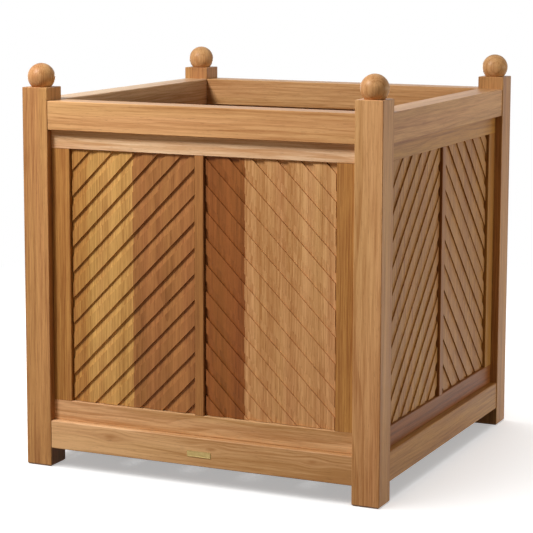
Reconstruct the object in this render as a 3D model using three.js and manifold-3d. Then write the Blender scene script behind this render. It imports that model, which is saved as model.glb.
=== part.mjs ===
// A square wooden planter box of the orangery kind: four posts with ball finials, rails between them,
// and on each side a grooved frame holding two panels, carved with slanting steps that meet in a chevron.
// Millimetres, +Z up, the front faces -Y. The origin is on the floor, under the middle of the box.
// Each side is drawn once, as seen from outside: x runs to the right, y inwards from the posts' outer face.

import * as THREE from 'three';
import { mergeVertices } from 'three/addons/utils/BufferGeometryUtils.js';
import Module from 'manifold-3d';

const wasm = await Module();
wasm.setup();

// ---------------------------------------------------------------- driving sizes

const WIDTH = 600; // over the posts, left to right
const DEPTH = 600; // over the posts, front to back

const POST_SIZE = 44; // square section
const POST_HEIGHT = 600; // floor to the flat top
const POST_ARRIS = 0.8; // bevel on the long edges and round the top
const FOOT_BEVEL = 2.5; // bevel round the foot

const RAIL_SETBACK = 1.2; // rail face behind the post face
const RAIL_ARRIS = 1;
const TOP_RAIL_HEIGHT = 45;
const TOP_RAIL_DROP = 20; // post top above the top rail
const BOTTOM_RAIL_HEIGHT = 45;
const BOTTOM_RAIL_LIFT = 30; // floor to the bottom rail
const BOTTOM_RAIL_ROUND = 2.5; // radius of the bottom rail's upper front edge
const TENON_THICKNESS = 12;
const TENON_SHOULDER = 7; // rail above and below its tenon
const TENON_WALL = 1.7; // from a tenon's end to the side of the tenon that comes in from the next side

const FRAME_SETBACK = 12; // panel frame face behind the post face
const FRAME_THICKNESS = 20;
const FRAME_ARRIS = 0.8;
const FRAME_TOP_WIDTH = 29; // frame's top member, below the top rail
const FRAME_BOTTOM_WIDTH = 32;
const STILE_WIDTH = 32;
const MUNTIN_WIDTH = 15;
const MUNTIN_WEB = 5; // muntin between its two grooves
const FRAME_TONGUE_THICKNESS = 7.4; // tongue round the frame, held in the posts and rails
const FRAME_TONGUE_LENGTH = 5;
const STUB_INSET = 5; // stub tenon from the outer edge of a stile

const PANEL_SETBACK = 3.9; // highest part of the carving behind the frame face
const PANEL_THICKNESS = 13;
const PANEL_STILE_MARGIN = 2.5; // open line between the carved field and a stile
const PANEL_MUNTIN_MARGIN = 2;
const PANEL_END_MARGIN = 0.6; // at the field's top and bottom, where the wood hardly shrinks
const PANEL_TONGUE_THICKNESS = 6;
const PANEL_TONGUE_SETBACK = 1.7; // tongue behind the deepest carving
const PANEL_GROOVE_DEPTH = 5;

const STEP_PITCH = 40.3; // upright distance from one carved step to the next
const STEP_LOW_WIDTH = 16; // upright width of the low strip below each undercut edge
const STEP_DEPTH = 3.1; // low strip at the foot of that edge, below the high strip
const STEP_RISE = 1.1; // how far the low strip slopes up from there
const STEP_SLOPE = 1.014; // rise of a step for one across

// The first edge above the frame's bottom member, at a panel's outer end. The panels aren't matched.
const FRONT_LEFT_STEP_START = 3.5;
const FRONT_RIGHT_STEP_START = 19.0;
const SIDE_LEFT_STEP_START = 2.2;
const SIDE_RIGHT_STEP_START = 26.7;

const BALL_RADIUS = 21.4;
const BALL_CENTRE_RISE = 15.5; // ball centre above its flat seat on the post
const DOWEL_RADIUS = 6;
const DOWEL_LENGTH = 30; // half in the post, half in the ball
const DOWEL_BEVEL = 1;

const CLEAT_WIDTH = 22;
const CLEAT_HEIGHT = 22;
const CLEAT_RISE = 3; // cleat above the underside of the bottom rail
const SLAT_COUNT = 5;
const SLAT_GAP = 8;
const SLAT_THICKNESS = 15;
const SLAT_ARRIS = 1.2;

const PLATE_WIDTH = 40;
const PLATE_HEIGHT = 9.3;
const PLATE_THICKNESS = 0.8;
const PLATE_CORNER = 0.6;
const PLATE_OFFSET = 4.5; // plate centre to the right of the middle
const PLATE_RISE = 19.2; // plate centre above the underside of the bottom rail

const JOINT_GAP = 0.3; // round a tenon, a tongue or a dowel, and at a shoulder
const END_GAP = 0.5; // past the end of a tenon or a dowel
const TONGUE_END_GAP = 0.6; // past the end of a panel's tongue or a stub tenon
const GROOVE_GAP = 1; // past the end of the frame's tongue
const FLOOR_GAP = 1; // at the ends of the cleats and slats
const OVERCUT = 1; // how far a cut runs past the face that it opens, or a tongue into its own piece

// Facets round an arc or a turned piece.
const ROUND_FACETS = 4;
const BALL_FACETS = 40;
const BALL_RINGS = 18;
const DOWEL_FACETS = 20;

// ---------------------------------------------------------------- sizes that follow

const halfWidth = WIDTH / 2;
const halfDepth = DEPTH / 2;
const railBack = POST_SIZE; // rails end in line with the posts' inner corner
const railMiddle = (RAIL_SETBACK + railBack) / 2;
const bottomRailTop = BOTTOM_RAIL_LIFT + BOTTOM_RAIL_HEIGHT;
const topRailTop = POST_HEIGHT - TOP_RAIL_DROP;
const topRailBottom = topRailTop - TOP_RAIL_HEIGHT;

// Measured from the post's outer corner: where a tenon ends, and the side of the tenon next to it.
const tenonFront = railMiddle - TENON_THICKNESS / 2;
const tenonBack = railMiddle + TENON_THICKNESS / 2;
const tenonEnd = tenonBack + TENON_WALL;

const frameBack = FRAME_SETBACK + FRAME_THICKNESS;
const frameMiddle = (FRAME_SETBACK + frameBack) / 2;
const tongueFront = frameMiddle - FRAME_TONGUE_THICKNESS / 2;
const tongueBack = frameMiddle + FRAME_TONGUE_THICKNESS / 2;
const tongueGrooveDepth = FRAME_TONGUE_LENGTH + GROOVE_GAP;
const frameTop = topRailBottom - JOINT_GAP;

// The daylight opening of the frame.
const openingBottom = bottomRailTop + FRAME_BOTTOM_WIDTH;
const openingTop = topRailBottom - FRAME_TOP_WIDTH;

const panelFront = FRAME_SETBACK + PANEL_SETBACK;
const panelBack = panelFront + PANEL_THICKNESS;
const panelTongueFront = panelFront + STEP_DEPTH + PANEL_TONGUE_SETBACK;
const panelTongueBack = panelTongueFront + PANEL_TONGUE_THICKNESS;
const panelGrooveFront = panelTongueFront - JOINT_GAP;
const panelGrooveBack = panelTongueBack + JOINT_GAP;
const muntinGrooveDepth = (MUNTIN_WIDTH - MUNTIN_WEB) / 2;

const cleatTop = BOTTOM_RAIL_LIFT + CLEAT_RISE + CLEAT_HEIGHT;

// ---------------------------------------------------------------- solids

const X = new THREE.Vector3(1, 0, 0);
const Y = new THREE.Vector3(0, 1, 0);
const Z = new THREE.Vector3(0, 0, 1);

// A closed three.js geometry as a solid that can be joined and cut, and the way back.
function toSolid(geometry) {
  geometry.deleteAttribute('normal');
  geometry.deleteAttribute('uv');
  const merged = mergeVertices(geometry);
  return new wasm.Manifold(new wasm.Mesh({
    numProp: 3,
    vertProperties: merged.attributes.position.array,
    triVerts: new Uint32Array(merged.index.array),
  }));
}

function toGeometry(solid) {
  const mesh = solid.getMesh();
  const geometry = new THREE.BufferGeometry();
  geometry.setAttribute('position', new THREE.BufferAttribute(mesh.vertProperties, 3));
  geometry.setIndex(new THREE.BufferAttribute(mesh.triVerts, 1));
  geometry.computeVertexNormals();
  return geometry;
}

// A box between two values on each axis, with its corners on exactly those values.
function block([x0, x1], [y0, y1], [z0, z1]) {
  const geometry = new THREE.BoxGeometry(x1 - x0, y1 - y0, z1 - z0);
  const corners = geometry.attributes.position;
  for (let i = 0; i < corners.count; i += 1) {
    corners.setXYZ(
      i,
      corners.getX(i) > 0 ? x1 : x0,
      corners.getY(i) > 0 ? y1 : y0,
      corners.getZ(i) > 0 ? z1 : z0,
    );
  }
  return toSolid(geometry);
}

// A flat outline drawn on two axes and pushed along the third, which is right-handed to them.
function prism(outline, length, acrossAxis, upAxis, start) {
  const alongAxis = acrossAxis.clone().cross(upAxis);
  const geometry = new THREE.ExtrudeGeometry(outline, { depth: length, bevelEnabled: false });
  const placing = new THREE.Matrix4().makeBasis(acrossAxis, upAxis, alongAxis);
  placing.setPosition(start);
  return toSolid(geometry.applyMatrix4(placing));
}

// A rectangle with bevelled corners; the corner at a0, b1 can be a round of another radius instead.
function bevelledRectangle([a0, a1], [b0, b1], bevel, round = 0) {
  const shape = new THREE.Shape();
  shape.moveTo(a0 + bevel, b0);
  shape.lineTo(a1 - bevel, b0);
  shape.lineTo(a1, b0 + bevel);
  shape.lineTo(a1, b1 - bevel);
  shape.lineTo(a1 - bevel, b1);
  if (round > 0) {
    for (let i = 0; i <= ROUND_FACETS; i += 1) {
      const turn = (i / ROUND_FACETS) * (Math.PI / 2);
      shape.lineTo(a0 + round - round * Math.sin(turn), b1 - round + round * Math.cos(turn));
    }
  } else {
    shape.lineTo(a0 + bevel, b1);
    shape.lineTo(a0, b1 - bevel);
  }
  shape.lineTo(a0, b0 + bevel);
  return shape;
}

// A bar along x, bevelled on its long edges, with the upper front one rounded if a radius is given.
function barAlongX([x0, x1], across, up, bevel, round = 0) {
  return prism(bevelledRectangle(across, up, bevel, round), x1 - x0, Y, Z, new THREE.Vector3(x0, 0, 0));
}

// A bar along z, bevelled on its long edges.
function barAlongZ(across, inwards, [z0, z1], bevel) {
  return prism(bevelledRectangle(across, inwards, bevel), z1 - z0, X, Y, new THREE.Vector3(0, 0, z0));
}

// A piece turned round the upright axis, from [radius, height] pairs that start and end on the axis.
function turned(profile, facets) {
  const points = profile.map(([radius, height]) => new THREE.Vector2(radius, height));
  return new THREE.LatheGeometry(points, facets).rotateX(Math.PI / 2);
}

// The hole for a finial's dowel, between two heights.
function bored([z0, z1]) {
  const radius = DOWEL_RADIUS + JOINT_GAP;
  return turned([[0, z0], [radius, z0], [radius, z1], [0, z1]], DOWEL_FACETS);
}

// ---------------------------------------------------------------- posts and finials

// The post stands on [0, POST_SIZE] in x and y, with its outer corner at the origin, and is the same
// seen from either side. One side's rails and frame enter its face at x = POST_SIZE, the other's at y.
function postSolid() {
  const centre = POST_SIZE / 2;
  const shaft = barAlongZ([0, POST_SIZE], [0, POST_SIZE], [0, POST_HEIGHT], POST_ARRIS);

  // Four-sided cap and foot bevels, cut by a larger four-sided piece with sloping ends.
  const spare = POST_ARRIS + FOOT_BEVEL;
  const diagonal = Math.SQRT2;
  const ends = turned([
    [0, 0],
    [(centre - FOOT_BEVEL) * diagonal, 0],
    [(centre + spare) * diagonal, FOOT_BEVEL + spare],
    [(centre + spare) * diagonal, POST_HEIGHT - POST_ARRIS - spare],
    [(centre - POST_ARRIS) * diagonal, POST_HEIGHT],
    [0, POST_HEIGHT],
  ], 4);
  ends.rotateZ(Math.PI / 4).translate(centre, centre, 0);

  let solid = shaft.intersect(toSolid(ends));

  const mortiseDepths = [tenonEnd - END_GAP, POST_SIZE + OVERCUT];
  const mortiseSides = [tenonFront - JOINT_GAP, tenonBack + JOINT_GAP];
  for (const [railBottom, railTop] of [[BOTTOM_RAIL_LIFT, bottomRailTop], [topRailBottom, topRailTop]]) {
    const heights = [railBottom + TENON_SHOULDER, railTop - TENON_SHOULDER + JOINT_GAP];
    solid = solid.subtract(block(mortiseDepths, mortiseSides, heights));
    solid = solid.subtract(block(mortiseSides, mortiseDepths, heights));
  }

  const grooveDepths = [POST_SIZE - tongueGrooveDepth, POST_SIZE + OVERCUT];
  const grooveSides = [tongueFront - JOINT_GAP, tongueBack + JOINT_GAP];
  const grooveHeights = [bottomRailTop, topRailBottom];
  solid = solid.subtract(block(grooveDepths, grooveSides, grooveHeights));
  solid = solid.subtract(block(grooveSides, grooveDepths, grooveHeights));

  const bore = bored([POST_HEIGHT - DOWEL_LENGTH / 2, POST_HEIGHT + OVERCUT]).translate(centre, centre, 0);
  return solid.subtract(toSolid(bore));
}

// A ball cut flat where it sits on the post, bored from below for its dowel.
function ballSolid() {
  const seatAngle = -Math.asin(BALL_CENTRE_RISE / BALL_RADIUS);
  const profile = [[0, POST_HEIGHT]];
  for (let i = 0; i < BALL_RINGS; i += 1) {
    const angle = seatAngle + (i / BALL_RINGS) * (Math.PI / 2 - seatAngle);
    const height = i === 0 ? 0 : BALL_CENTRE_RISE + BALL_RADIUS * Math.sin(angle);
    profile.push([BALL_RADIUS * Math.cos(angle), POST_HEIGHT + height]);
  }
  profile.push([0, POST_HEIGHT + BALL_CENTRE_RISE + BALL_RADIUS]);
  const ball = toSolid(turned(profile, BALL_FACETS));
  const boreTop = POST_HEIGHT + DOWEL_LENGTH / 2 + END_GAP;
  return ball.subtract(toSolid(bored([POST_HEIGHT - OVERCUT, boreTop])));
}

function dowelSolid() {
  const bottom = POST_HEIGHT - DOWEL_LENGTH / 2;
  const top = POST_HEIGHT + DOWEL_LENGTH / 2;
  return toSolid(turned([
    [0, bottom],
    [DOWEL_RADIUS - DOWEL_BEVEL, bottom],
    [DOWEL_RADIUS, bottom + DOWEL_BEVEL],
    [DOWEL_RADIUS, top - DOWEL_BEVEL],
    [DOWEL_RADIUS - DOWEL_BEVEL, top],
    [0, top],
  ], DOWEL_FACETS));
}

// ---------------------------------------------------------------- rails

// A rail between two posts, with a tenon at each end and a groove for the frame's tongue.
function railSolid(span, [z0, z1], grooveHeights, round = 0) {
  const shoulder = span / 2 - POST_SIZE - JOINT_GAP;
  const body = barAlongX([-shoulder, shoulder], [RAIL_SETBACK, railBack], [z0, z1], RAIL_ARRIS, round);
  const tenonReach = span / 2 - tenonEnd;
  const tenon = block(
    [-tenonReach, tenonReach],
    [tenonFront, tenonBack],
    [z0 + TENON_SHOULDER, z1 - TENON_SHOULDER],
  );
  const groove = block(
    [-shoulder - OVERCUT, shoulder + OVERCUT],
    [tongueFront - JOINT_GAP, tongueBack + JOINT_GAP],
    grooveHeights,
  );
  return body.subtract(groove).add(tenon);
}

function topRailSolid(span) {
  const grooveHeights = [topRailBottom - OVERCUT, topRailBottom + tongueGrooveDepth];
  return railSolid(span, [topRailBottom, topRailTop], grooveHeights);
}

function bottomRailSolid(span) {
  const grooveHeights = [bottomRailTop - tongueGrooveDepth, bottomRailTop + OVERCUT];
  return railSolid(span, [BOTTOM_RAIL_LIFT, bottomRailTop], grooveHeights, BOTTOM_RAIL_ROUND);
}

// ---------------------------------------------------------------- panel frame

// Half the length of the frame between the posts.
function frameReach(span) {
  return span / 2 - POST_SIZE - JOINT_GAP;
}

// The inner edge of a stile, from the middle of the side.
function stileEdge(span) {
  return span / 2 - POST_SIZE - STILE_WIDTH;
}

// The frame's top or bottom member: a tongue on its outer edge and ends, a groove in its inner edge.
function frameRailSolid(span, [z0, z1], outerTongue, innerGroove) {
  const reach = frameReach(span);
  const tongueSides = [tongueFront, tongueBack];
  const body = barAlongX([-reach, reach], [FRAME_SETBACK, frameBack], [z0, z1], FRAME_ARRIS);
  const endTongues = block(
    [-reach - FRAME_TONGUE_LENGTH, reach + FRAME_TONGUE_LENGTH],
    tongueSides,
    [z0 + TONGUE_END_GAP, z1],
  );
  const edgeTongue = block([-reach + JOINT_GAP, reach - JOINT_GAP], tongueSides, outerTongue);
  const grooveReach = reach - STUB_INSET + TONGUE_END_GAP;
  const groove = block([-grooveReach, grooveReach], [panelGrooveFront, panelGrooveBack], innerGroove);
  return body.add(endTongues).add(edgeTongue).subtract(groove);
}

function frameBottomSolid(span) {
  return frameRailSolid(
    span,
    [bottomRailTop, openingBottom],
    [bottomRailTop - FRAME_TONGUE_LENGTH, bottomRailTop + OVERCUT],
    [openingBottom - PANEL_GROOVE_DEPTH, openingBottom + OVERCUT],
  );
}

function frameTopSolid(span) {
  return frameRailSolid(
    span,
    [openingTop, frameTop],
    [frameTop - OVERCUT, frameTop + FRAME_TONGUE_LENGTH],
    [openingTop - OVERCUT, openingTop + PANEL_GROOVE_DEPTH],
  );
}

// Stub tenons at both ends of an upright frame member, sunk in the grooves of the frame's rails.
function stubTenons(across) {
  const reach = PANEL_GROOVE_DEPTH - TONGUE_END_GAP;
  return block(across, [panelTongueFront, panelTongueBack], [openingBottom - reach, openingTop + reach]);
}

// An upright at one end of the frame: a tongue on its outer edge, a groove in its inner edge.
function stileSolid(span, isRight) {
  const outer = frameReach(span);
  const inner = stileEdge(span);
  const grooveFloor = inner + PANEL_GROOVE_DEPTH;
  const heights = [openingBottom, openingTop];
  const sided = ([near, far]) => (isRight ? [near, far] : [-far, -near]);
  const body = barAlongZ(sided([inner, outer]), [FRAME_SETBACK, frameBack], heights, FRAME_ARRIS);
  const tongue = block(
    sided([outer - OVERCUT, outer + FRAME_TONGUE_LENGTH]),
    [tongueFront, tongueBack],
    heights,
  );
  const groove = block(
    sided([inner - OVERCUT, grooveFloor]),
    [panelGrooveFront, panelGrooveBack],
    [openingBottom - OVERCUT, openingTop + OVERCUT],
  );
  const stubs = stubTenons(sided([grooveFloor + JOINT_GAP, outer - STUB_INSET]));
  return body.add(tongue).subtract(groove).add(stubs);
}

// The bar between the two panels, grooved on both sides.
function muntinSolid() {
  const edge = MUNTIN_WIDTH / 2;
  const web = MUNTIN_WEB / 2;
  const sides = [panelGrooveFront, panelGrooveBack];
  const depths = [FRAME_SETBACK, frameBack];
  const heights = [openingBottom - OVERCUT, openingTop + OVERCUT];
  const body = barAlongZ([-edge, edge], depths, [openingBottom, openingTop], FRAME_ARRIS);
  const leftGroove = block([-edge - OVERCUT, -web], sides, heights);
  const rightGroove = block([web, edge + OVERCUT], sides, heights);
  const stubs = stubTenons([-web + JOINT_GAP, web - JOINT_GAP]);
  return body.subtract(leftGroove).subtract(rightGroove).add(stubs);
}

// ---------------------------------------------------------------- carved panels

// A slab whose face falls in slanting steps. lean is 1 where the steps rise to the right, -1 to the left.
// The steps are counted from [x, z], where an undercut edge crosses the panel's outer end.
function steppedSlab(lean, [x, z], width, height) {
  const slant = 1 / Math.hypot(1, STEP_SLOPE); // square across the steps, for one upright
  const pitch = STEP_PITCH * slant;
  const lowWidth = STEP_LOW_WIDTH * slant;
  const above = Math.ceil(height / STEP_PITCH) + 1;
  const below = Math.ceil((width * STEP_SLOPE + height) / STEP_PITCH) + 1;

  const section = new THREE.Shape();
  section.moveTo(-(above + 1) * pitch, panelFront);
  for (let step = -above; step <= below; step += 1) {
    const edge = step * pitch;
    section.lineTo(edge, panelFront);
    section.lineTo(edge, panelFront + STEP_DEPTH);
    section.lineTo(edge + lowWidth, panelFront + STEP_DEPTH - STEP_RISE);
    section.lineTo(edge + lowWidth, panelFront);
  }
  section.lineTo((below + 1) * pitch, panelFront);
  section.lineTo((below + 1) * pitch, panelBack);
  section.lineTo(-(above + 1) * pitch, panelBack);

  const across = new THREE.Vector3(lean * STEP_SLOPE, 0, -1).normalize();
  const along = across.clone().cross(Y);
  const reach = width + height;
  const start = new THREE.Vector3(x, 0, z).addScaledVector(along, -reach);
  return prism(section, 2 * reach, across, Y, start);
}

// The left panel lies between the left stile and the muntin, the right one is its mirror image.
function panelSolid(span, isRight, stepStart) {
  const stile = stileEdge(span);
  const muntin = MUNTIN_WIDTH / 2;
  const sided = ([near, far]) => (isRight ? [near, far] : [-far, -near]);
  const field = sided([muntin + PANEL_MUNTIN_MARGIN, stile - PANEL_STILE_MARGIN]);
  const fieldHeights = [openingBottom + PANEL_END_MARGIN, openingTop - PANEL_END_MARGIN];
  const tongue = block(
    sided([muntin - muntinGrooveDepth + TONGUE_END_GAP, stile + PANEL_GROOVE_DEPTH - TONGUE_END_GAP]),
    [panelTongueFront, panelTongueBack],
    [openingBottom - PANEL_GROOVE_DEPTH, openingTop + PANEL_GROOVE_DEPTH - TONGUE_END_GAP],
  );
  const lean = isRight ? -1 : 1;
  const outerEnd = isRight ? field[1] : field[0];
  const slab = steppedSlab(
    lean,
    [outerEnd, openingBottom + stepStart],
    field[1] - field[0],
    fieldHeights[1] - fieldHeights[0],
  );
  return slab.intersect(block(field, [panelFront - OVERCUT, panelBack + OVERCUT], fieldHeights)).add(tongue);
}

// ---------------------------------------------------------------- floor and plate

// A strip along the inner face of a bottom rail, for the slats to lie on.
function cleatSolid(span) {
  const reach = span / 2 - POST_SIZE - FLOOR_GAP;
  const heights = [cleatTop - CLEAT_HEIGHT, cleatTop];
  return barAlongX([-reach, reach], [railBack, railBack + CLEAT_WIDTH], heights, SLAT_ARRIS);
}

// A floor slat along y, drawn round x = 0.
function slatSolid(width, length) {
  const heights = [cleatTop, cleatTop + SLAT_THICKNESS];
  const outline = bevelledRectangle(heights, [-width / 2, width / 2], SLAT_ARRIS);
  return prism(outline, length, Z, X, new THREE.Vector3(0, -length / 2, 0));
}

// A thin bare plate on the face of the front bottom rail.
function plateSolid() {
  const middle = BOTTOM_RAIL_LIFT + PLATE_RISE;
  const outline = bevelledRectangle(
    [middle - PLATE_HEIGHT / 2, middle + PLATE_HEIGHT / 2],
    [PLATE_OFFSET - PLATE_WIDTH / 2, PLATE_OFFSET + PLATE_WIDTH / 2],
    PLATE_CORNER,
  );
  const front = RAIL_SETBACK - PLATE_THICKNESS;
  return prism(outline, PLATE_THICKNESS, Z, X, new THREE.Vector3(0, front, 0));
}

// ---------------------------------------------------------------- assembly

const planter = new THREE.Group();

function addPiece(parent, name, solid, color, roughness = 0.7, metalness = 0) {
  const material = new THREE.MeshStandardMaterial({ color, roughness, metalness });
  const mesh = new THREE.Mesh(toGeometry(solid), material);
  mesh.name = name;
  parent.add(mesh);
  return mesh;
}

function addGroup(x, y, quarterTurns) {
  const group = new THREE.Group();
  group.position.set(x, y, 0);
  group.rotation.z = quarterTurns * (Math.PI / 2);
  planter.add(group);
  return group;
}

const corners = [
  { name: 'front_left', x: -halfWidth, y: -halfDepth },
  { name: 'front_right', x: halfWidth, y: -halfDepth },
  { name: 'back_right', x: halfWidth, y: halfDepth },
  { name: 'back_left', x: -halfWidth, y: halfDepth },
];
corners.forEach(({ name, x, y }, quarterTurns) => {
  const corner = addGroup(x, y, quarterTurns);
  addPiece(corner, `post_${name}`, postSolid(), 0xc28e58);
  const finial = new THREE.Group();
  finial.position.set(POST_SIZE / 2, POST_SIZE / 2, 0);
  corner.add(finial);
  addPiece(finial, `finial_ball_${name}`, ballSolid(), 0xb98553, 0.6);
  addPiece(finial, `finial_dowel_${name}`, dowelSolid(), 0xc9a26c);
});

const frontSteps = [FRONT_LEFT_STEP_START, FRONT_RIGHT_STEP_START];
const sideSteps = [SIDE_LEFT_STEP_START, SIDE_RIGHT_STEP_START];
const sides = [
  { name: 'front', x: 0, y: -halfDepth, span: WIDTH, steps: frontSteps },
  { name: 'right', x: halfWidth, y: 0, span: DEPTH, steps: sideSteps },
  { name: 'back', x: 0, y: halfDepth, span: WIDTH, steps: frontSteps },
  { name: 'left', x: -halfWidth, y: 0, span: DEPTH, steps: sideSteps },
];
sides.forEach(({ name, x, y, span, steps }, quarterTurns) => {
  const side = addGroup(x, y, quarterTurns);
  addPiece(side, `${name}_top_rail`, topRailSolid(span), 0xd1a06a);
  addPiece(side, `${name}_bottom_rail`, bottomRailSolid(span), 0xc48f5a);
  addPiece(side, `${name}_frame_top`, frameTopSolid(span), 0xd2a873);
  addPiece(side, `${name}_frame_bottom`, frameBottomSolid(span), 0xb98350);
  addPiece(side, `${name}_stile_left`, stileSolid(span, false), 0xbf8a56);
  addPiece(side, `${name}_stile_right`, stileSolid(span, true), 0xc49561);
  addPiece(side, `${name}_muntin`, muntinSolid(), 0x9a6a4a);
  addPiece(side, `${name}_panel_left`, panelSolid(span, false, steps[0]), 0xb88249);
  addPiece(side, `${name}_panel_right`, panelSolid(span, true, steps[1]), 0xa97048);
  if (name === 'front') {
    addPiece(side, 'maker_plate', plateSolid(), 0xc8b46e, 0.35, 1);
  }
  if (name === 'front' || name === 'back') {
    addPiece(side, `${name}_floor_cleat`, cleatSolid(span), 0xb5824f);
  }
});

const floorWidth = WIDTH - 2 * POST_SIZE;
const slatWidth = (floorWidth - (SLAT_COUNT + 1) * SLAT_GAP) / SLAT_COUNT;
const slatLength = DEPTH - 2 * POST_SIZE - 2 * FLOOR_GAP;
for (let i = 0; i < SLAT_COUNT; i += 1) {
  const slat = addPiece(planter, `floor_slat_${i + 1}`, slatSolid(slatWidth, slatLength), 0xb98a58);
  slat.position.x = -floorWidth / 2 + SLAT_GAP + slatWidth / 2 + i * (SLAT_GAP + slatWidth);
}

export default planter;
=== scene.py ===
# %% [markdown]
# # A carved teak planter box
# An orangery planter: four square posts with turned balls, rails between them, and on each side a
# frame with two panels whose faces are carved in slanting steps. The joinery comes ready-made from the
# frame of solids. This lesson gives it its finish: carved panels, turned balls, a slatted floor, a small
# brass plate, and teak whose grain runs along every board.

# %% Load the frame of solids
import math
import random

import bmesh
import bpy
from mathutils import Matrix, Vector


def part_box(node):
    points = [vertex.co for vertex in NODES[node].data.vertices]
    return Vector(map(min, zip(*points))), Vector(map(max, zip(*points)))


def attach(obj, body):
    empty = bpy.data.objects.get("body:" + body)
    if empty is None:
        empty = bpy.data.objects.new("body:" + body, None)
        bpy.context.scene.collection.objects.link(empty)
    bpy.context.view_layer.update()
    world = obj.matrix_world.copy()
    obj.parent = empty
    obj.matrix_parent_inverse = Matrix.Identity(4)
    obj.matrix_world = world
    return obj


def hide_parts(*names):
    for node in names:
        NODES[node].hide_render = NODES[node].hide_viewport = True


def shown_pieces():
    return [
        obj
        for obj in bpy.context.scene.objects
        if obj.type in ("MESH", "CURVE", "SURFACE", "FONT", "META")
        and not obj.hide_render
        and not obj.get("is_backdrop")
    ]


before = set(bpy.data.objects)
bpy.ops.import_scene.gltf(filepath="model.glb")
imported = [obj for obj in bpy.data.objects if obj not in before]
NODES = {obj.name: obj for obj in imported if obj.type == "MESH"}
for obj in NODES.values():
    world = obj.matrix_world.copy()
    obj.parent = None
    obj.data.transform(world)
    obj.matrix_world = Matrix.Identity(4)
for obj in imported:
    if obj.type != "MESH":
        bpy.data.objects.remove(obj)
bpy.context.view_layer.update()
MM = 0.001

# %% [markdown]
# ## Helpers for node trees
# Every node tree here, for shapes and for finishes, is written as a short list of nodes. One helper adds a
# node with its settings and its links. The others do what comes back again and again, such as a sum, a ramp
# or a mix of two colours, so that a tree reads from its first node to its last. Colours are written as
# hex, as people write them, and turned into the linear numbers that shaders need.

# %% Helpers for node trees and colours
def add_node(tree, kind, inputs=None, **settings):
    """Adds a node. An input is a plain value, or another node's output to link from."""
    node = tree.nodes.new(kind)
    for name, value in settings.items():
        setattr(node, name, value)
    for socket, value in (inputs or {}).items():
        if isinstance(value, bpy.types.NodeSocket):
            tree.links.new(value, node.inputs[socket])
        else:
            node.inputs[socket].default_value = value
    return node


def new_tree(name, kind, inputs, outputs):
    """An empty node group with named sockets, and what its input node gives."""
    tree = bpy.data.node_groups.new(name, kind)
    for way, sockets in (("INPUT", inputs), ("OUTPUT", outputs)):
        for socket, value_kind in sockets.items():
            tree.interface.new_socket(socket, in_out=way, socket_type="NodeSocket" + value_kind)
    return tree, add_node(tree, "NodeGroupInput").outputs


def calculate(tree, operation, *values, **settings):
    """A number worked out from other numbers."""
    node = add_node(tree, "ShaderNodeMath", dict(enumerate(values)), operation=operation, **settings)
    return node.outputs[0]


def calculate_vector(tree, operation, *values):
    """A vector worked out from other vectors."""
    node = add_node(tree, "ShaderNodeVectorMath", dict(enumerate(values)), operation=operation)
    return node.outputs[0]


def vector_of(tree, x=0.0, y=0.0, z=0.0):
    """A vector put together from three numbers."""
    return add_node(tree, "ShaderNodeCombineXYZ", {0: x, 1: y, 2: z}).outputs[0]


def length_of(tree, vector):
    """How long a vector is."""
    return add_node(tree, "ShaderNodeVectorMath", {0: vector}, operation="LENGTH").outputs["Value"]


def ramp(tree, value, start, end, low=0.0, high=1.0, smooth=True):
    """Low up to the start, high past the end, and a smooth or a straight change between them."""
    node = add_node(tree, "ShaderNodeMapRange", {"Value": value, 1: start, 2: end, 3: low, 4: high},
                    interpolation_type="SMOOTHSTEP" if smooth else "LINEAR")
    return node.outputs[0]


def mix_colours(tree, factor, first, second):
    """The first colour where the factor is nought, the second where it is one."""
    # The node has sockets for numbers and vectors too; those for colours are 6 and 7.
    node = add_node(tree, "ShaderNodeMix", {"Factor": factor, 6: first, 7: second}, data_type="RGBA")
    return node.outputs[2]


def linear(hex_colour):
    """An sRGB colour such as #C69262 as linear red, green, blue and alpha."""
    parts = [int(hex_colour[i:i + 2], 16) / 255 for i in (1, 3, 5)]
    return [c / 12.92 if c <= 0.04045 else ((c + 0.055) / 1.055) ** 2.4 for c in parts] + [1.0]


WHITE = linear("#FFFFFF")
print("teak, linear:", [round(c, 3) for c in linear("#C69262")])

# %% [markdown]
# ## Helpers for pieces
# A piece is a mesh that stands in the scene under its own name. Small ones are shaped from a block with
# Blender's mesh tools, and then kept.

# %% Helpers for pieces
def add_object(name, data):
    """Puts a mesh, a lamp or a camera into the scene."""
    thing = bpy.data.objects.new(name, data)
    bpy.context.scene.collection.objects.link(thing)
    return thing


def block(low, high):
    """A box between two corners, as a shape that the mesh tools can work on."""
    shape = bmesh.new()
    bmesh.ops.create_cube(shape, size=1)
    for vertex in shape.verts:
        vertex.co = [high[i] if vertex.co[i] > 0 else low[i] for i in range(3)]
    return shape


def keep_shape(shape, name, material):
    """Makes a piece of a finished shape."""
    bmesh.ops.recalc_face_normals(shape, faces=shape.faces)
    mesh = bpy.data.meshes.new(name)
    shape.to_mesh(mesh)
    shape.free()
    mesh.materials.append(material)
    return add_object(name, mesh)


print("helpers ready")

# %% [markdown]
# ## The camera
# A long lens from a little above and to the right of the front. The three angles and the place say where it
# stands in the planter's own frame. The lens is shifted down a little, which keeps the posts upright in
# the picture while the camera looks down on the rim.

# %% Camera
CAMERA_PLACE = Vector((1.2907, -2.8630, 0.8176))
CAMERA_HEADING = math.radians(24.596)  # turned left of straight ahead
CAMERA_PITCH = math.radians(-8.077)
CAMERA_ROLL = math.radians(0.162)
LENS_MM = 130.43
SENSOR_MM = 36
PICTURE_SIDE = 533
PRINCIPAL_ROW = 220  # the picture row that the lens axis meets


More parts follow.
